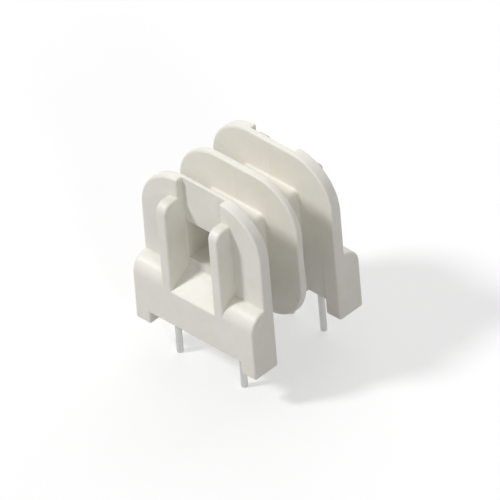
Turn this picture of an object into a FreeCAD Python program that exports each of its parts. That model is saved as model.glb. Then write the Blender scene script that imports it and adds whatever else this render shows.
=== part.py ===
# Two-section transformer bobbin with five terminal pins
#
# One plastic moulding carries a rectangular winding tube between two end flanges, with a
# thinner flange half way. Each end flange stands on a block that holds the pins, and has two
# ribs on its outer face that guide the core's yoke into a channel, down to the web round the bore.
#
# The origin is the centre of the pin pattern in the seating plane, which is the underside of
# the feet. X runs across the flanges, Y along the winding and core axis, and Z points up.

import FreeCAD, Part
import math
import os
from FreeCAD import Vector

# Terminal pins, of round wire with a thinner square shank that is pressed into the block
pin_diameter = 0.8
pin_stand_out = 4.25
pin_tip_chamfer = 0.12
pin_pitch = 5.0
pin_setback = 1.4  # from the inner face of the end flange to the pins' axes
shank_width = 0.45
shank_length = 4.0

# Core bore and the walls of the tube round it
bore_width = 6.35
bore_height = 5.35
bore_rise = 1.1  # from the top of the blocks to the floor of the bore
tube_side_wall = 0.85
tube_cross_wall = 1.0
tube_corner_radius = 0.5

# Spaces for the two windings
winding_length = 10.2
winding_height = 5.05  # from the top of the tube to the top of the flanges

# End flanges
body_width = 18.65
flange_thickness = 1.5
crown_radius = 6.05

# Thinner flange between the windings
middle_inset = 0.125  # how much narrower it is on each side than the end flanges
middle_bottom = 1.95
middle_thickness = 0.9
middle_lower_radius = 6.0

# Blocks under the end flanges, with a quarter-round shoulder
block_reach = 2.2
block_face_height = 6.5
foot_width = 2.3
notch_height = 1.6

# Grooves in the inner faces, which lead the wires down beside the tube to the pins; the floor
# slopes from nothing at the underside of the tube to this depth at the notch
groove_depth = 0.35

# Ribs and the channel between them for the core's yoke
channel_margin = 0.1  # how much wider the channel is on each side than the bore
web_thickness = 0.6
rib_width = 1.5
rib_drop = 2.6  # from the top of the flange to the top of the ribs
rib_nose_radius = 1.2

# Rounded edges
edge_round = 0.3
root_round = 0.3
ramp_root_round = 0.5

# Places that follow from these sizes
half_width = body_width / 2
inner_face = winding_length / 2
outer_face = inner_face + flange_thickness
block_face = outer_face + block_reach
block_top = block_face_height + block_reach
web_face = inner_face + web_thickness
bore_floor = block_top + bore_rise
tube_bottom = bore_floor - tube_cross_wall
tube_top = bore_floor + bore_height + tube_cross_wall
tube_half = bore_width / 2 + tube_side_wall
flange_top = tube_top + winding_height
channel_wall = bore_width / 2 + channel_margin
rib_side = channel_wall + rib_width
rib_top = flange_top - rib_drop
foot_inner = half_width - foot_width
pin_row = inner_face + pin_setback
rim_round = min(edge_round, middle_thickness / 3)

tolerance = 1e-5
diagonal = math.sqrt(0.5)


def near(a, b):
    return abs(a - b) < tolerance


def line(a, b):
    return Part.LineSegment(a, b).toShape()


def arc(start, middle, end):
    return Part.Arc(start, middle, end).toShape()


def prism(edges, travel):
    return Part.Face(Part.Wire(edges)).extrude(travel)


def box(x, y, z):
    """Box between the low and high value of each pair."""
    size = [x[1] - x[0], y[1] - y[0], z[1] - z[0]]
    return Part.makeBox(*size, Vector(x[0], y[0], z[0]))


def rounded_plate(width, bottom, top, top_radius, bottom_radius, y_start, y_end):
    """Upright plate across Y with round upper corners, and round lower corners if asked for."""
    half = width / 2

    def corner(side, centre_z, radius, rise):
        centre = Vector(side * (half - radius), y_start, centre_z)
        foot = centre + Vector(side * radius, 0, 0)
        middle = centre + Vector(side * radius * diagonal, 0, rise * radius * diagonal)
        crown = centre + Vector(0, 0, rise * radius)
        return foot, middle, crown

    edges = []
    right_foot, right_middle, right_crown = corner(1, top - top_radius, top_radius, 1)
    left_foot, left_middle, left_crown = corner(-1, top - top_radius, top_radius, 1)
    edges.append(arc(right_foot, right_middle, right_crown))
    edges.append(line(right_crown, left_crown))
    edges.append(arc(left_crown, left_middle, left_foot))
    if bottom_radius > 0:
        low_right = corner(1, bottom + bottom_radius, bottom_radius, -1)
        low_left = corner(-1, bottom + bottom_radius, bottom_radius, -1)
        edges.append(line(left_foot, low_left[0]))
        edges.append(arc(low_left[0], low_left[1], low_left[2]))
        edges.append(line(low_left[2], low_right[2]))
        edges.append(arc(low_right[2], low_right[1], low_right[0]))
        edges.append(line(low_right[0], right_foot))
    else:
        left_low = Vector(-half, y_start, bottom)
        right_low = Vector(half, y_start, bottom)
        edges.append(line(left_foot, left_low))
        edges.append(line(left_low, right_low))
        edges.append(line(right_low, right_foot))
    return prism(edges, Vector(0, y_end - y_start, 0))


def round_edges(shape, radius, wanted):
    """Round the straight and curved edges that a test of middle point and extent picks."""
    chosen = []
    for edge in shape.Edges:
        middle = edge.valueAt((edge.FirstParameter + edge.LastParameter) / 2)
        if wanted(middle, edge.BoundBox):
            chosen.append(edge)
    return shape.makeFillet(radius, chosen)


def block_and_flange():
    """Side profile of a block with its quarter-round shoulder and flange, cut to the crown."""
    def at(y, z):
        return Vector(-half_width, y, z)

    shoulder = at(outer_face + block_reach * diagonal, block_face_height + block_reach * diagonal)
    edges = [
        line(at(inner_face, 0), at(block_face, 0)),
        line(at(block_face, 0), at(block_face, block_face_height)),
        arc(at(block_face, block_face_height), shoulder, at(outer_face, block_top)),
        line(at(outer_face, block_top), at(outer_face, flange_top)),
        line(at(outer_face, flange_top), at(inner_face, flange_top)),
        line(at(inner_face, flange_top), at(inner_face, 0)),
    ]
    profile = prism(edges, Vector(body_width, 0, 0))
    crown = rounded_plate(body_width, 0, flange_top, crown_radius, 0, inner_face, block_face)
    return profile.common(crown)


def on_flange_outline(point):
    """Whether a point lies on the sides, round corners or top of an end flange."""
    beyond_x = abs(point.x) - (half_width - crown_radius)
    beyond_z = point.z - (flange_top - crown_radius)
    if beyond_x > 0 and beyond_z > 0:
        return near(math.hypot(beyond_x, beyond_z), crown_radius)
    return near(abs(point.x), half_width) or near(point.z, flange_top)


def rib(side):
    """Guide rib with a round nose; its outer edges are rounded before it joins the block."""
    start = channel_wall if side > 0 else -rib_side
    outer = side * rib_side
    inside_block = block_face_height / 2
    inside_flange = (inner_face + outer_face) / 2
    nose_start = block_face - rib_nose_radius
    nose_end = rib_top - rib_nose_radius

    def at(y, z):
        return Vector(start, y, z)

    nose = at(nose_start + rib_nose_radius * diagonal, nose_end + rib_nose_radius * diagonal)
    edges = [
        line(at(inside_flange, inside_block), at(block_face, inside_block)),
        line(at(block_face, inside_block), at(block_face, nose_end)),
        arc(at(block_face, nose_end), nose, at(nose_start, rib_top)),
        line(at(nose_start, rib_top), at(inside_flange, rib_top)),
        line(at(inside_flange, rib_top), at(inside_flange, inside_block)),
    ]
    solid = prism(edges, Vector(rib_width, 0, 0))

    def outer_edge(middle, extent):
        on_side = near(middle.x, outer) and extent.XLength < tolerance
        in_view = middle.y > inside_flange + tolerance and middle.z > inside_block + tolerance
        return on_side and in_view

    return round_edges(solid, edge_round, outer_edge)


def yoke_channel():
    """Cutter for the channel: open to the front and the top, with a ramp at its foot."""
    slope = (block_top - block_face_height) / (block_face - web_face)
    ahead = block_face + block_reach
    ahead_floor = block_face_height - slope * block_reach
    above = flange_top + winding_height

    def at(y, z):
        return Vector(-channel_wall, y, z)

    edges = [
        line(at(web_face, block_top), at(ahead, ahead_floor)),
        line(at(ahead, ahead_floor), at(ahead, above)),
        line(at(ahead, above), at(web_face, above)),
        line(at(web_face, above), at(web_face, block_top)),
    ]
    return prism(edges, Vector(2 * channel_wall, 0, 0))


def groove_span(side):
    return sorted([side * tube_half, side * foot_inner])


def groove_pocket():
    """How deep a groove is first cut, before its sloping floor goes in."""
    return [inner_face, inner_face + groove_depth + edge_round]


def groove_floor(side):
    """Filler behind the sloping floor of a groove."""
    start = groove_span(side)[0] - edge_round
    back = groove_pocket()[1]

    def at(y, z):
        return Vector(start, y, z)

    edges = [
        line(at(inner_face, tube_bottom), at(inner_face + groove_depth, notch_height)),
        line(at(inner_face + groove_depth, notch_height), at(back, notch_height)),
        line(at(back, notch_height), at(back, tube_bottom)),
        line(at(back, tube_bottom), at(inner_face, tube_bottom)),
    ]
    return prism(edges, Vector(foot_inner - tube_half + 2 * edge_round, 0, 0))


def end_flange():
    """The rear end: flange, block, feet, ribs and channel, with all its edges rounded."""
    past_block = [inner_face - block_reach, block_face + block_reach]
    solid = block_and_flange().fuse([rib(1), rib(-1)])
    solid = solid.cut(yoke_channel())
    solid = solid.cut(box([-foot_inner, foot_inner], past_block, [-notch_height, notch_height]))
    for side in (-1, 1):
        solid = solid.cut(box(groove_span(side), groove_pocket(), [notch_height, tube_bottom]))
    solid = solid.removeSplitter()

    def rounded(middle, extent):
        flat_x = extent.XLength < tolerance
        flat_y = extent.YLength < tolerance
        flat_z = extent.ZLength < tolerance
        across = abs(middle.x)
        at_inner_face = near(middle.y, inner_face) and flat_y
        at_block_face = near(middle.y, block_face) and flat_y
        underside = near(middle.z, 0) and flat_z
        foot_post = near(across, foot_inner) and flat_x and (at_inner_face or at_block_face)
        groove_rim = near(across, tube_half) and flat_x and at_inner_face
        notch_edge = near(middle.z, notch_height) and flat_z and at_block_face
        inner_outline = at_inner_face and on_flange_outline(middle)
        outer_outline = near(middle.y, outer_face) and flat_y and middle.z > block_top + tolerance
        outer_outline = outer_outline and on_flange_outline(middle)
        shoulder_side = near(across, half_width) and flat_x and middle.y > outer_face
        on_wall = near(across, channel_wall) and flat_x
        on_ramp = near(middle.y, (web_face + block_face) / 2)
        wall_edge = on_wall and middle.y > outer_face - tolerance
        wall_edge = wall_edge and middle.z > block_face_height and not on_ramp
        wall_top = on_wall and flat_z and middle.z > rib_top + tolerance
        ramp_edge = near(middle.z, block_face_height) and at_block_face and across < tolerance
        choices = [underside, foot_post, groove_rim, notch_edge, inner_outline, outer_outline]
        choices += [shoulder_side, wall_edge, wall_top, ramp_edge]
        return any(choices)

    solid = round_edges(solid, edge_round, rounded)
    solid = solid.fuse([groove_floor(1), groove_floor(-1)]).removeSplitter()

    def floor_end(middle, extent):
        at_floor = near(middle.y, inner_face + groove_depth) and near(middle.z, notch_height)
        return at_floor and extent.XLength > edge_round

    solid = round_edges(solid, edge_round, floor_end)

    def ramp_root(middle, extent):
        return near(middle.y, web_face) and near(middle.z, block_top) and near(middle.x, 0)

    return round_edges(solid, ramp_root_round, ramp_root)


def middle_flange():
    width = body_width - 2 * middle_inset
    y_start = -middle_thickness / 2
    y_end = middle_thickness / 2
    plate = rounded_plate(
        width, middle_bottom, flange_top, crown_radius, middle_lower_radius, y_start, y_end
    )

    def rim(middle, extent):
        return extent.YLength < tolerance

    return round_edges(plate, rim_round, rim)


def winding_tube():
    """Outside of the tube, flared at each flange, but not below it where the grooves start."""
    overhang = 2 * root_round
    tube = box([-tube_half, tube_half], [-inner_face, inner_face], [tube_bottom, tube_top])

    def long_edge(middle, extent):
        return extent.YLength > inner_face

    tube = round_edges(tube, tube_corner_radius, long_edge)
    wide = [-tube_half - overhang, tube_half + overhang]
    tall = [tube_bottom - overhang, tube_top + overhang]
    plates = [
        box(wide, [-inner_face - overhang, -inner_face], tall),
        box(wide, [-middle_thickness / 2, middle_thickness / 2], tall),
        box(wide, [inner_face, inner_face + overhang], tall),
    ]
    solid = tube.fuse(plates)

    def root(middle, extent):
        inside = abs(middle.x) < tube_half + tolerance
        inside = inside and tube_bottom - tolerance < middle.z < tube_top + tolerance
        return inside and extent.YLength < tolerance

    solid = round_edges(solid, root_round, root)
    solid = solid.common(box(wide, [-inner_face, inner_face], tall))
    for side in (-1, 1):
        ends = sorted([side * inner_face, side * (inner_face - overhang)])
        solid = solid.cut(box(wide, ends, [tube_bottom - overhang, tube_bottom]))
    return solid


def pin_places():
    """Name and place of each pin: two at the front, three at the rear."""
    return {
        "pin_front_left": (-pin_pitch, -pin_row),
        "pin_front_right": (pin_pitch, -pin_row),
        "pin_rear_left": (-pin_pitch, pin_row),
        "pin_rear_middle": (0, pin_row),
        "pin_rear_right": (pin_pitch, pin_row),
    }


def shank(x, y):
    """The square end of a pin inside its block, which also cuts the hole that it fills."""
    half = shank_width / 2
    top = notch_height + shank_length
    return box([x - half, x + half], [y - half, y + half], [notch_height, top])


def pin(x, y):
    length = pin_stand_out + notch_height
    wire = Part.makeCylinder(pin_diameter / 2, length, Vector(x, y, -pin_stand_out))
    tip = [edge for edge in wire.Edges if near(edge.BoundBox.ZMax, -pin_stand_out)]
    return wire.makeChamfer(pin_tip_chamfer, tip).fuse(shank(x, y))


def bobbin():
    rear = end_flange()
    front = rear.mirror(Vector(0, 0, 0), Vector(0, 1, 0))
    solid = rear.fuse([front, middle_flange(), winding_tube()]).removeSplitter()
    bore_across = [-bore_width / 2, bore_width / 2]
    bore_span = [bore_floor, bore_floor + bore_height]
    solid = solid.cut(box(bore_across, [-block_face, block_face], bore_span))
    for x, y in pin_places().values():
        solid = solid.cut(shank(x, y))
    return solid.removeSplitter()


def save(name, shape):
    solids = shape.Solids
    if len(solids) != 1 or not solids[0].isValid():
        raise ValueError(name + " is not one valid solid")
    solids[0].exportStep("parts/" + name + ".step")
    print(name, round(solids[0].Volume, 3), "cubic mm,", len(solids[0].Faces), "faces")


def main():
    os.makedirs("parts", exist_ok=True)
    save("bobbin", bobbin())
    for name, (x, y) in pin_places().items():
        save(name, pin(x, y))


main()
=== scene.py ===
import bpy
import math
from mathutils import Matrix, Vector


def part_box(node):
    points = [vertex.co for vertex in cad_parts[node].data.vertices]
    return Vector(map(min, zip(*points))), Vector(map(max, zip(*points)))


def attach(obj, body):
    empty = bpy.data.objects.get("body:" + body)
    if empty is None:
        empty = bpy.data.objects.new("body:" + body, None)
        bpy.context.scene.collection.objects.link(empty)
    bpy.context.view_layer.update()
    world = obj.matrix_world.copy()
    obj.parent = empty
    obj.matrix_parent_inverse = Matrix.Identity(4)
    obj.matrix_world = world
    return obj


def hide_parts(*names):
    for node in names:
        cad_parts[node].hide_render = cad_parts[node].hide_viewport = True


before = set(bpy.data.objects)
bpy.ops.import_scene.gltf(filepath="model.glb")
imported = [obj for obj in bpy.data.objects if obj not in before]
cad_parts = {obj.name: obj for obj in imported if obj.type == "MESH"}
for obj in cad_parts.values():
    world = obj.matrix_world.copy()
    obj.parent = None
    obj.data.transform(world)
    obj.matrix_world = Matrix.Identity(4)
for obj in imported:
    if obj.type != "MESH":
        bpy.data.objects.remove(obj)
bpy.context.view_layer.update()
mm = 0.001
print("frame loaded with nodes", sorted(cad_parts))


# Lowest and highest corner of a node, in millimetres
def boxOf(node):
    return [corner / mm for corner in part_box(node)]


halfWidth, blockFace, flangeTop = boxOf("bobbin")[1]
pinNodes = sorted(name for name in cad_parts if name.startswith("pin_"))
pinTip = boxOf(pinNodes[0])[0].z


# One socket of a node tree, so that a value made of several reads as an expression
class Socket:
    def __init__(self, graph, end):
        self.graph = graph
        self.end = end

    def __add__(self, other):
        return self.graph.maths("ADD", self, other)

    def __radd__(self, other):
        return self.graph.maths("ADD", other, self)

    def __sub__(self, other):
        return self.graph.maths("SUBTRACT", self, other)

    def __rsub__(self, other):
        return self.graph.maths("SUBTRACT", other, self)

    def __mul__(self, other):
        return self.graph.maths("MULTIPLY", self, other)

    def __rmul__(self, other):
        return self.graph.maths("MULTIPLY", other, self)

    def __truediv__(self, other):
        return self.graph.maths("DIVIDE", self, other)

    def __rtruediv__(self, other):
        return self.graph.maths("DIVIDE", other, self)

    def __pow__(self, other):
        return self.graph.maths("POWER", self, other)


class Graph:
    def __init__(self, tree):
        self.tree = tree
        self.tree.nodes.clear()

    # Settings come first because some of them change which sockets a node has
    def node(self, kind, settings=None, inputs=None, output=0):
        made = self.tree.nodes.new(kind)
        for key, value in (settings or {}).items():
            setattr(made, key, value)
        for key, value in (inputs or {}).items():
            if isinstance(value, Socket):
                self.tree.links.new(value.end, made.inputs[key])
            else:
                made.inputs[key].default_value = value
        return Socket(self, made.outputs[output]) if made.outputs else made

    def maths(self, operation, *values):
        return self.node("ShaderNodeMath", {"operation": operation}, dict(enumerate(values)))

    def vector(self, operation, *values):
        return self.node("ShaderNodeVectorMath", {"operation": operation}, dict(enumerate(values)))

    def scaled(self, vector, factor):
        return self.node("ShaderNodeVectorMath", {"operation": "SCALE"}, {0: vector, "Scale": factor})

    def parts(self, vector):
        split = self.node("ShaderNodeSeparateXYZ", None, {0: vector}).end.node
        return [Socket(self, end) for end in split.outputs]

    def join(self, x, y, z):
        return self.node("ShaderNodeCombineXYZ", None, {0: x, 1: y, 2: z})

    # 0 below the first limit, 1 above the second, and a straight line between them
    def ramp(self, value, low, high):
        return self.node("ShaderNodeMapRange", None, {0: value, 1: low, 2: high, 3: 0.0, 4: 1.0})

    # The same with soft ends
    def between(self, value, low, high):
        return self.node("ShaderNodeMapRange", {"interpolation_type": "SMOOTHSTEP"},
                         {0: value, 1: low, 2: high, 3: 0.0, 4: 1.0})

    def blend(self, factor, first, second):
        return self.node("ShaderNodeMix", {"data_type": "RGBA"}, {0: factor, 6: first, 7: second}, 2)

    # Noise whose lumps are about one size across, in the unit of the coordinates
    def noise(self, place, size=1.0, detail=1.0, rough=0.5, bend=0.0, output="Fac"):
        return self.node("ShaderNodeTexNoise", None, {
            "Vector": place, "Scale": 1 / size, "Detail": detail, "Roughness": rough,
            "Distortion": bend}, output)

    # Position in millimetres, so that sizes in the settings are real sizes
    def millimetres(self):
        return self.scaled(self.node("ShaderNodeTexCoord", output="Object"), 1 / mm)

    # A height of 1 stands out by the reach, in millimetres
    def bump(self, height, reach):
        return self.node("ShaderNodeBump", None, {
            "Height": height, "Strength": 1.0, "Distance": reach * mm}, "Normal")


def opaque(colour):
    return (*colour, 1.0)


def newMaterial(name):
    material = bpy.data.materials.new(name)
    material.use_nodes = True
    return material, Graph(material.node_tree)


# Camera, at the angle of the drawing
camera = {
    "azimuth": 46.4,       # degrees from the front end towards +X
    "elevation": 38.44,
    "roll": -4.72,         # upright edges lean to the left in the drawing
    "frameWidth": 56.287,  # mm across the picture
    "aimRight": 0.033,     # mm from the origin to the middle of the picture
    "aimUp": 6.857,
    "distance": 300.0,
    "nearest": 0.01,       # m
    "farthest": 5.0,
}


def addCamera():
    azimuth = math.radians(camera["azimuth"])
    elevation = math.radians(camera["elevation"])
    roll = math.radians(camera["roll"])
    level = math.cos(elevation)
    back = Vector((math.sin(azimuth) * level, -math.cos(azimuth) * level, math.sin(elevation)))
    across = Vector((0, 0, 1)).cross(back).normalized()
    upright = back.cross(across)
    right = across * math.cos(roll) + upright * math.sin(roll)
    up = upright * math.cos(roll) - across * math.sin(roll)
    place = right * camera["aimRight"] + up * camera["aimUp"] + back * camera["distance"]
    data = bpy.data.cameras.new("drawingView")
    data.type = "ORTHO"
    data.ortho_scale = camera["frameWidth"] * mm
    data.clip_start = camera["nearest"]
    data.clip_end = camera["farthest"]
    view = bpy.data.objects.new("drawingView", data)
    turn = Matrix((right, up, back)).transposed().to_4x4()
    view.matrix_world = Matrix.Translation(place * mm) @ turn
    bpy.context.scene.collection.objects.link(view)
    bpy.context.scene.camera = view


addCamera()
print("camera set")


# Floor and light
studio = {
    "floorSize": 1.6,       # m
    "floorColour": (0.42, 0.42, 0.42),   # what the floor throws back at the part
    "shadowColour": (0.50, 0.50, 0.50),  # how much of the seen floor takes light and shadow
    "palerColour": (0.51, 0.51, 0.51),   # the same in its paler patches
    "patches": {"size": 60.0, "detail": 3.0},
    "floorGlow": 0.48,      # the rest of the seen floor, up to white
    "skyLow": 0.30,         # light from all round, at the horizon and straight above
    "skyHigh": 0.44,
    "lamps": {              # where each comes from, its level and its spread in degrees
        "keyLight": ((-0.56, -0.74, 1.0), 1.82, 10.0),
        "fillLight": ((1.0, -0.55, 0.5), 0.42, 8.0),
        "backLight": ((-0.5, 1.0, 0.7), 1.0, 70.0),
    },
}


# 1 where the camera sees a surface directly, in a reflection or through glass
def seenDirectly(graph):
    rays = graph.node("ShaderNodeLightPath").end.node.outputs
    seen = Socket(graph, rays["Is Camera Ray"]) + Socket(graph, rays["Is Glossy Ray"])
    seen = seen + Socket(graph, rays["Is Transmission Ray"])
    return graph.maths("MINIMUM", seen, 1.0)


def floorMaterial():
    material, graph = newMaterial("paleFloor")
    bounce = graph.node("ShaderNodeBsdfDiffuse", None, {"Color": opaque(studio["floorColour"])})
    patch = graph.noise(graph.millimetres(), **studio["patches"])
    tone = graph.blend(patch, opaque(studio["shadowColour"]), opaque(studio["palerColour"]))
    lit = graph.node("ShaderNodeBsdfDiffuse", None, {"Color": tone})
    glow = graph.node("ShaderNodeEmission", None, {"Strength": studio["floorGlow"]})
    seen = graph.node("ShaderNodeAddShader", None, {0: lit, 1: glow})
    mixed = graph.node("ShaderNodeMixShader", None, {0: seenDirectly(graph), 1: bounce, 2: seen})
    graph.node("ShaderNodeOutputMaterial", None, {"Surface": mixed})
    return material


# The tips of the pins stand on it
def addFloor():
    half = studio["floorSize"] / 2
    height = pinTip * mm
    corners = [(-half, -half, height), (half, -half, height), (half, half, height), (-half, half, height)]
    mesh = bpy.data.meshes.new("floor")
    mesh.from_pydata(corners, [], [(0, 1, 2, 3)])
    mesh.materials.append(floorMaterial())
    floor = bpy.data.objects.new("floor", mesh)
    bpy.context.scene.collection.objects.link(floor)


def addLamp(name, direction, level, spread):
    data = bpy.data.lights.new(name, "SUN")
    data.energy = level
    data.angle = math.radians(spread)
    lamp = bpy.data.objects.new(name, data)
    lamp.rotation_euler = Vector(direction).to_track_quat("Z", "Y").to_euler()
    bpy.context.scene.collection.objects.link(lamp)


def addSky():
    world = bpy.data.worlds.new("softRoom")
    world.use_nodes = True
    graph = Graph(world.node_tree)
    upward = graph.parts(graph.node("ShaderNodeTexCoord", output="Generated"))[2]
    level = graph.ramp(upward, 0.0, 1.0) * (studio["skyHigh"] - studio["skyLow"]) + studio["skyLow"]
    white = opaque((1, 1, 1))
    around = graph.node("ShaderNodeBackground", None, {"Color": white, "Strength": level})
    seen = graph.node("ShaderNodeBackground", None, {"Color": white, "Strength": 1.0})
    mixed = graph.node("ShaderNodeMixShader", None, {0: seenDirectly(graph), 1: around, 2: seen})
    graph.node("ShaderNodeOutputWorld", None, {"Surface": mixed})
    bpy.context.scene.world = world


bpy.context.scene.view_settings.view_transform = "Standard"
addFloor()
for lampName, lamp in studio["lamps"].items():
    addLamp(lampName, *lamp)
addSky()
print("floor and light set")


# The moulding keeps its solid's shape and gets its plastic. Sizes and reaches are in millimetres
plastic = {
    "colour": (0.82, 0.80, 0.74),
    "warmColour": (0.79, 0.762, 0.685),   # where the melt came to rest
    "fleckColour": (0.88, 0.87, 0.83),    # glass fibres just under the skin
    # the colour of the painted shade in corners and creases
    "paintedShadeColour": (0.66, 0.62, 0.52),
    "skin": {
        "IOR": 1.53, "Specular IOR Level": 0.45, "Subsurface Weight": 0.06,
        "Subsurface Radius": (0.9, 0.75, 0.5), "Subsurface Scale": 0.0006},
    "mottle": {"size": 3.6, "detail": 3.0, "rough": 0.55},
    "flow": {"size": 0.85, "detail": 3.0, "bend": 0.9},
    "flowWidth": 0.45,      # of a flow mark, as a share of its upright length
    "flowInWarmth": 0.3,    # share of the flow marks in the warm tone, the rest is mottle
    "warmRange": (0.32, 0.7),
    "fleckWidth": 0.06,
    "fleckLength": 0.5,
    "fleckRange": (0.66, 0.74),
    "fleckShow": 0.55,
    "swirl": {"size": 2.4},  # bends that the fibres follow
    "swirlReach": 3.2,
    "creaseReach": 0.9,     # how far the painted shade in corners and creases reaches from a corner
    "creaseSamples": 8,
    # the painted crease shade: how much the mottle breaks it up, where it fades in, and how strong it is;
    # it also adds roughness below
    "mottleInPaintedShade": 0.3,
    "paintedShadeRange": (0.3, 0.95),
    "paintedShadeShow": 0.4,
    "roughness": {"skin": 0.43, "mottle": 0.22, "fleck": -0.08, "paintedShade": 0.2},  # and what each adds
    "grain": {"size": 0.16, "detail": 2.0, "rough": 0.6},
    "wave": {"size": 1.6},
    "grainHeight": 0.016,
    "relief": {"wave": 1.5, "fleck": 0.25},   # heights against the grain's
}


# Short fibres along each of the three directions, bent together by the flow of the melt
def fibres(graph, place):
    swirl = graph.noise(place, **plastic["swirl"], output="Color")
    swirl = graph.scaled(graph.vector("SUBTRACT", swirl, (0.5, 0.5, 0.5)), plastic["swirlReach"])
    bent = graph.parts(graph.vector("ADD", place, swirl))
    fleck = 0.0
    for lengthways in range(3):
        sizes = [plastic["fleckWidth"]] * 3
        sizes[lengthways] = plastic["fleckLength"]
        streak = graph.noise(graph.join(*[part / size for part, size in zip(bent, sizes)]))
        fleck = graph.maths("MAXIMUM", fleck, graph.between(streak, *plastic["fleckRange"]))
    return fleck


def plasticMaterial():
    material, graph = newMaterial("naturalPlastic")
    place = graph.millimetres()
    x, y, z = graph.parts(place)
    mottle = graph.noise(place, **plastic["mottle"])
    flow = graph.noise(graph.join(x, y, z * plastic["flowWidth"]), **plastic["flow"])
    fleck = fibres(graph, place)
    share = plastic["flowInWarmth"]
    warmth = graph.between(mottle * (1 - share) + flow * share, *plastic["warmRange"])
    colour = graph.blend(warmth, opaque(plastic["colour"]), opaque(plastic["warmColour"]))
    colour = graph.blend(fleck * plastic["fleckShow"], colour, opaque(plastic["fleckColour"]))
    # Painted shade: where ambient occlusion finds a corner or crease, the colour is darkened towards a
    # brown and the surface made rougher
    crease = 1 - graph.node("ShaderNodeAmbientOcclusion", {"samples": plastic["creaseSamples"]},
                            {"Distance": plastic["creaseReach"] * mm}, "AO")
    paintedShade = graph.between(crease + (mottle - 0.5) * plastic["mottleInPaintedShade"], *plastic["paintedShadeRange"])
    colour = graph.blend(paintedShade * plastic["paintedShadeShow"], colour, opaque(plastic["paintedShadeColour"]))
    rough = plastic["roughness"]
    roughness = rough["skin"] + (mottle - 0.5) * rough["mottle"]
    roughness = roughness + fleck * rough["fleck"] + paintedShade * rough["paintedShade"]
    wave = graph.noise(place, **plastic["wave"])
    height = graph.noise(place, **plastic["grain"]) + wave * plastic["relief"]["wave"]
    height = height + fleck * plastic["relief"]["fleck"]
    skin = graph.node("ShaderNodeBsdfPrincipled", None, {
        **plastic["skin"], "Base Color": colour, "Roughness": roughness,
        "Normal": graph.bump(height, plastic["grainHeight"])})
    graph.node("ShaderNodeOutputMaterial", None, {"Surface": skin})
    return material


naturalPlastic = plasticMaterial()
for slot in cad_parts["bobbin"].material_slots:
    slot.material = naturalPlastic
print("bobbin dressed")


# What the named inputs of the trees below can be
number = "NodeSocketFloat"
count = "NodeSocketInt"
spot = "NodeSocketVector"
finish = "NodeSocketMaterial"


# A new tree with named inputs: their identifiers, and their sockets inside it
def newTree(name, kinds):
    tree = bpy.data.node_groups.new(name, "GeometryNodeTree")
    graph = Graph(tree)
    tree.interface.new_socket(name="Geometry", in_out="INPUT", socket_type="NodeSocketGeometry")
    tree.interface.new_socket(name="Geometry", in_out="OUTPUT", socket_type="NodeSocketGeometry")
    identifiers = {}
    for label, kind in {**kinds, "Material": finish}.items():
        item = tree.interface.new_socket(name=label, in_out="INPUT", socket_type=kind)
        identifiers[label] = item.identifier
    ends = graph.node("NodeGroupInput").end.node.outputs
    ask = {label: Socket(graph, ends[label]) for label in ["Geometry", *identifiers]}
    return graph, identifiers, ask


def closeTree(graph, shape, material):
    real = graph.node("GeometryNodeRealizeInstances", None, {"Geometry": shape})
    painted = graph.node("GeometryNodeSetMaterial", None, {"Geometry": real, "Material": material})
    graph.node("NodeGroupOutput", None, {"Geometry": painted})


# A rod of radius 1 and length 1 along Z, and how far along it each point is
def plainRod(graph, ask):
    rod = graph.node("GeometryNodeMeshCylinder", {"fill_type": "TRIANGLE_FAN"}, {
        "Vertices": ask["Sides"], "Side Segments": ask["Rings"], "Fill Segments": 1,
        "Radius": 1.0, "Depth": 1.0})
    x, y, z = graph.parts(graph.node("GeometryNodeInputPosition"))
    return rod, x, y, z + 0.5


def shapedTo(graph, shape, x, y, z):
    return graph.node("GeometryNodeSetPosition", None,
                      {"Geometry": shape, "Position": graph.join(x, y, z)})


# Runs a tree on a starting mesh and keeps only the plain mesh that comes out
def makePiece(name, tree, identifiers, values, points=(), edges=()):
    start = bpy.data.meshes.new(name + "Start")
    start.from_pydata([tuple(point) for point in points], list(edges), [])
    holder = bpy.data.objects.new(name + "Start", start)
    bpy.context.scene.collection.objects.link(holder)
    modifier = holder.modifiers.new("build", "NODES")
    modifier.node_group = tree
    for label, value in values.items():
        modifier[identifiers[label]] = value
    bpy.context.view_layer.update()
    graph = bpy.context.evaluated_depsgraph_get()
    mesh = bpy.data.meshes.new_from_object(holder.evaluated_get(graph), depsgraph=graph)
    bpy.data.objects.remove(holder)
    bpy.data.meshes.remove(start)
    mesh.name = name
    mesh.shade_smooth()
    sharpFrom = 40.0   # degrees
    mesh.set_sharp_from_angle(angle=math.radians(sharpFrom))
    piece = bpy.data.objects.new(name, mesh)
    bpy.context.scene.collection.objects.link(piece)
    return piece


# Terminal pins, one tree run once for each, and as long as its node
pins = {
    "diameter": 0.8,
    "tipRound": 0.12,
    "ceiling": 1.6,         # underside of the plastic that holds them
    "shankWidth": 0.45,
    "sides": 40,
    "rings": 20,
    "tinColour": (0.61, 0.61, 0.60),
    "dullColour": (0.42, 0.415, 0.40),
    "cutColour": (0.42, 0.39, 0.35),      # bare steel at the cut end
    "cutRange": (0.02, 0.07),   # mm above the tip, where the bare steel ends
    "dullRange": (0.3, 2.6),    # mm of height over which the tin turns darker and rougher towards the plastic
    "dullShift": 1.6,           # mm that the grain moves it
    "dullShow": 0.5,
    "stainRange": (0.40, 0.66),
    "grainInStain": 0.35,       # share of the grain in the stains, the rest is lines
    "stainShow": 0.55,
    "roughness": {"tin": 0.2, "lines": 0.12, "stain": 0.1, "dull": 0.12, "cut": 0.15},
    "lineWidth": 0.05,          # mm, of the marks left by drawing
    "lineLength": 4.0,
    "lines": {"detail": 3.0, "rough": 0.6},
    "grain": {"size": 0.22, "detail": 3.0, "rough": 0.6},
    "lineHeight": 0.003,
    "grainHeight": 0.6,         # against the lines
}


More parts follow.
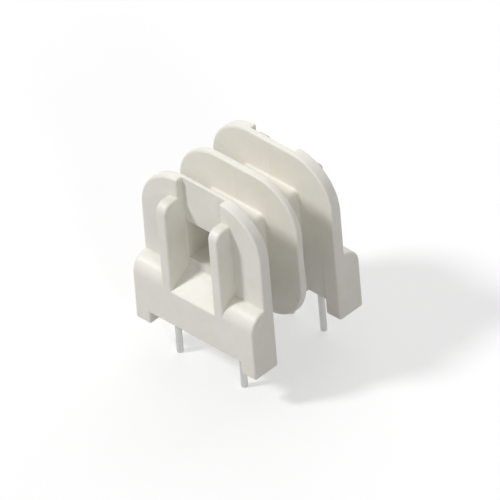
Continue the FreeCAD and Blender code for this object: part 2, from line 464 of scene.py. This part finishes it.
def wireMaterial():
    material, graph = newMaterial("tinnedWire")
    place = graph.millimetres()
    x, y, z = graph.parts(place)
    width, length = pins["lineWidth"], pins["lineLength"]
    lines = graph.noise(graph.join(x / width, y / width, z / length), **pins["lines"])
    grain = graph.noise(place, **pins["grain"])
    dull = graph.between(z + grain * pins["dullShift"], *pins["dullRange"])
    cut = 1 - graph.between(z - pinTip, *pins["cutRange"])
    share = pins["grainInStain"]
    stain = graph.between(grain * share + lines * (1 - share), *pins["stainRange"])
    tin = graph.blend(stain * pins["stainShow"], opaque(pins["tinColour"]), opaque(pins["dullColour"]))
    tin = graph.blend(dull * pins["dullShow"], tin, opaque(pins["dullColour"]))
    tin = graph.blend(cut, tin, opaque(pins["cutColour"]))
    rough = pins["roughness"]
    roughness = rough["tin"] + lines * rough["lines"] + stain * rough["stain"]
    roughness = roughness + dull * rough["dull"] + cut * rough["cut"]
    skin = graph.node("ShaderNodeBsdfPrincipled", None, {
        "Metallic": 1.0, "Base Color": tin, "Roughness": roughness,
        "Normal": graph.bump(lines + grain * pins["grainHeight"], pins["lineHeight"])})
    graph.node("ShaderNodeOutputMaterial", None, {"Surface": skin})
    return material


# Round wire with a rounded tip, and a square shank above the ceiling where the plastic grips it
def pinTree():
    graph, identifiers, ask = newTree("terminalPin", {
        "Diameter": number, "Stand Out": number, "Tip Round": number, "Ceiling": number,
        "Shank Length": number, "Shank Width": number, "Place": spot, "Sides": count, "Rings": count})
    rod, x, y, along = plainRod(graph, ask)
    tipEnd, neck, shoulder = 0.4, 0.85, 0.9      # how far along the rod each stretch ends
    turn = graph.maths("MINIMUM", along / tipEnd, 1.0) * (math.pi / 2)
    reach = ask["Diameter"] / 2 - ask["Tip Round"] * (1 - graph.maths("SINE", turn))
    tip = ask["Tip Round"] * (1 - graph.maths("COSINE", turn)) - ask["Stand Out"]
    shaft = graph.ramp(along, tipEnd, neck) * (ask["Ceiling"] + ask["Stand Out"] - ask["Tip Round"])
    height = tip + shaft + graph.ramp(along, shoulder, 1.0) * ask["Shank Length"]
    corner = graph.maths("MAXIMUM", graph.maths("ABSOLUTE", x), graph.maths("ABSOLUTE", y))
    core = 0.1       # keeps the points on the rod's axis from a division by nothing
    square = ask["Shank Width"] / 2 / graph.maths("MAXIMUM", corner, core)
    reach = reach + graph.ramp(along, neck, shoulder) * (square - reach)
    shaped = shapedTo(graph, rod, x * reach, y * reach, height)
    placed = graph.node("GeometryNodeTransform", None, {"Geometry": shaped, "Translation": ask["Place"]})
    closeTree(graph, placed, ask["Material"])
    return graph.tree, identifiers


def pinCentre(node):
    low, high = boxOf(node)
    return (low + high) / 2


def addPins(material):
    tree, identifiers = pinTree()
    for node in pinNodes:
        low, high = boxOf(node)
        centre = pinCentre(node)
        values = {
            "Diameter": pins["diameter"] * mm, "Stand Out": -low.z * mm, "Tip Round": pins["tipRound"] * mm,
            "Ceiling": pins["ceiling"] * mm, "Shank Length": (high.z - pins["ceiling"]) * mm,
            "Shank Width": pins["shankWidth"] * mm, "Place": (centre.x * mm, centre.y * mm, 0.0),
            "Sides": pins["sides"], "Rings": pins["rings"], "Material": material}
        piece = makePiece("wire_" + node, tree, identifiers, values)
        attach(piece, "root")
        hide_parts(node)


addPins(wireMaterial())
print("pins built")


# The plastic creeps down each wire a little where it comes out of the block
collars = {
    "spread": 0.66,         # mm from the wire's axis where the collar meets the block
    "height": 0.16,
    "sunk": 0.05,
    "curve": 2.5,           # 1 is a straight cone, and more hugs the wire for longer
    "sides": 40,
    "rings": 8,
}


def collarTree():
    graph, identifiers, ask = newTree("pinCollar", {
        "Wire Diameter": number, "Spread": number, "Height": number, "Sunk": number, "Curve": number,
        "Sides": count, "Rings": count})
    rod, x, y, along = plainRod(graph, ask)
    wire = ask["Wire Diameter"] / 2
    reach = wire + (ask["Spread"] - wire) * along ** ask["Curve"]
    height = along * (ask["Height"] + ask["Sunk"]) - ask["Height"]
    shaped = shapedTo(graph, rod, x * reach, y * reach, height)
    copies = graph.node("GeometryNodeInstanceOnPoints", None,
                        {"Points": ask["Geometry"], "Instance": shaped})
    closeTree(graph, copies, ask["Material"])
    return graph.tree, identifiers


def addCollars(material):
    tree, identifiers = collarTree()
    values = {
        "Wire Diameter": pins["diameter"] * mm, "Spread": collars["spread"] * mm,
        "Height": collars["height"] * mm, "Sunk": collars["sunk"] * mm, "Curve": collars["curve"],
        "Sides": collars["sides"], "Rings": collars["rings"], "Material": material}
    centres = [pinCentre(node) for node in pinNodes]
    points = [Vector((centre.x, centre.y, pins["ceiling"])) * mm for centre in centres]
    piece = makePiece("pinCollars", tree, identifiers, values, points)
    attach(piece, "root")


addCollars(naturalPlastic)
print("collars built")


# Marks that the mould leaves: ejector pins push on the rear end, and the melt comes in between them
marks = {
    "ejector": {
        "radius": 0.75,
        "rim": 0.028,       # how far the ring of flash stands out
        "rimWidth": 0.09,
        "spots": [(-6.9, blockFace, 3.9), (6.9, blockFace, 3.9), (-7.0, 6.6, 12.6), (7.0, 6.6, 12.6)]},
    "gate": {
        "radius": 0.42,
        "rim": 0.07,
        "rimWidth": 0.34,
        "spots": [(0.0, blockFace, 3.9)]},
    "crest": 0.4,           # how far in from the outer edge a rim is highest, as a share of its width
    "fall": 0.8,            # how much of its height it has lost at that edge
    "sunk": 0.06,           # how deep each mark's underside sits in the plastic
    "proud": 0.008,
    "sides": 48,
    "rings": 16,
}


# A round mark whose outer ring stands a little higher, copied to each point and facing the rear
def markTree():
    graph, identifiers, ask = newTree("mouldMark", {
        "Radius": number, "Rim Height": number, "Rim Width": number, "Crest": number, "Fall": number,
        "Sunk": number, "Proud": number, "Sides": count, "Rings": count})
    disc = graph.node("GeometryNodeMeshCylinder", {"fill_type": "TRIANGLE_FAN"}, {
        "Vertices": ask["Sides"], "Side Segments": 1, "Fill Segments": ask["Rings"],
        "Radius": ask["Radius"], "Depth": 1.0})
    x, y, z = graph.parts(graph.node("GeometryNodeInputPosition"))
    out = (x * x + y * y) ** 0.5
    crest = ask["Radius"] - ask["Rim Width"] * ask["Crest"]
    ring = graph.ramp(out, ask["Radius"] - ask["Rim Width"], crest)
    ring = ring - graph.ramp(out, crest, ask["Radius"]) * ask["Fall"]
    top = graph.maths("GREATER_THAN", z, 0.0)
    height = top * (ask["Proud"] + ask["Sunk"] + ring * ask["Rim Height"]) - ask["Sunk"]
    copies = graph.node("GeometryNodeInstanceOnPoints", None, {
        "Points": ask["Geometry"], "Instance": shapedTo(graph, disc, x, y, height),
        "Rotation": (-math.pi / 2, 0.0, 0.0)})
    closeTree(graph, copies, ask["Material"])
    return graph.tree, identifiers


def addMarks(material):
    tree, identifiers = markTree()
    for kind in ("ejector", "gate"):
        mark = marks[kind]
        values = {
            "Radius": mark["radius"] * mm, "Rim Height": mark["rim"] * mm,
            "Rim Width": mark["rimWidth"] * mm, "Crest": marks["crest"], "Fall": marks["fall"],
            "Sunk": marks["sunk"] * mm, "Proud": marks["proud"] * mm,
            "Sides": marks["sides"], "Rings": marks["rings"], "Material": material}
        points = [Vector(place) * mm for place in mark["spots"]]
        piece = makePiece(kind + "Marks", tree, identifiers, values, points)
        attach(piece, "root")


addMarks(naturalPlastic)
print("mould marks built")


# Hairline ridges where the parts of the mould meet: round the rim of each end flange, and along
# the middle of the winding spaces
seams = {
    "radius": 0.014,        # mm, so the ridge stands this far out of the plastic
    "sides": 8,
    "rimAt": 5.55,          # mm from the middle to the seam in each end flange
    "crown": 6.05,
    "footEdge": 0.32,
    "innerFace": 5.1,
    "middleHalf": 0.45,
    "middleBottom": 1.95,
    "tubeTop": 16.15,
    "tubeBottom": 8.8,
    "notchTop": 1.62,
    "round": 0.3,           # of rims and of the tube's flares
    "roundSteps": 6,
    "crownSteps": 24,
}


# Points of an arc in a plane, from one angle to another in degrees
def arcPoints(centre, radius, start, end, steps=seams["roundSteps"]):
    points = []
    for step in range(steps + 1):
        angle = math.radians(start + (end - start) * step / steps)
        points.append((centre[0] + radius * math.cos(angle), centre[1] + radius * math.sin(angle)))
    return points


def rimPath():
    crown = seams["crown"]
    centre = (halfWidth - crown, flangeTop - crown)
    right = [(halfWidth, seams["footEdge"])] + arcPoints(centre, crown, 0, 90, seams["crownSteps"])
    return right + [(-x, z) for x, z in reversed(right)]


# Half of the upper path, from the end flange's rim to the middle flange's
def upperPath():
    inner, bend, low, middle = seams["innerFace"], seams["round"], seams["tubeTop"], seams["middleHalf"]
    path = [(seams["rimAt"], flangeTop)] + arcPoints((inner + bend, flangeTop - bend), bend, 90, 180)
    path += arcPoints((inner - bend, low + bend), bend, 0, -90)
    path += arcPoints((middle + bend, low + bend), bend, -90, -180)
    return path + arcPoints((middle - bend, flangeTop - bend), bend, 0, 90)


# Half of the lower path, from the notch under the block to the middle flange's underside
def lowerPath():
    inner, bend, low, middle = seams["innerFace"], seams["round"], seams["tubeBottom"], seams["middleHalf"]
    path = [(inner, seams["notchTop"]), (inner, low)]
    path += arcPoints((middle + bend, low - bend), bend, 90, 180)
    return path + arcPoints((middle - bend, seams["middleBottom"] + bend), bend, 0, -90)


def seamTree():
    graph, identifiers, ask = newTree("seamRidge", {"Radius": number, "Sides": count})
    section = graph.node("GeometryNodeCurvePrimitiveCircle", None,
                         {"Resolution": ask["Sides"], "Radius": ask["Radius"]})
    line = graph.node("GeometryNodeMeshToCurve", None, {"Mesh": ask["Geometry"]})
    ridge = graph.node("GeometryNodeCurveToMesh", None,
                       {"Curve": line, "Profile Curve": section, "Fill Caps": True})
    closeTree(graph, ridge, ask["Material"])
    return graph.tree, identifiers


def addSeams(material):
    tree, identifiers = seamTree()
    paths = []
    for side in (-1, 1):
        paths.append([(x, side * seams["rimAt"], z) for x, z in rimPath()])
    for half in (upperPath(), lowerPath()):
        whole = half + [(-y, z) for y, z in reversed(half)]
        paths.append([(0.0, y, z) for y, z in whole])
    points, edges = [], []
    for path in paths:
        first = len(points)
        points += [Vector(point) * mm for point in path]
        edges += [(first + step, first + step + 1) for step in range(len(path) - 1)]
    values = {"Radius": seams["radius"] * mm, "Sides": seams["sides"], "Material": material}
    piece = makePiece("mouldSeams", tree, identifiers, values, points, edges)
    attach(piece, "root")


addSeams(naturalPlastic)
print("mould seams built")
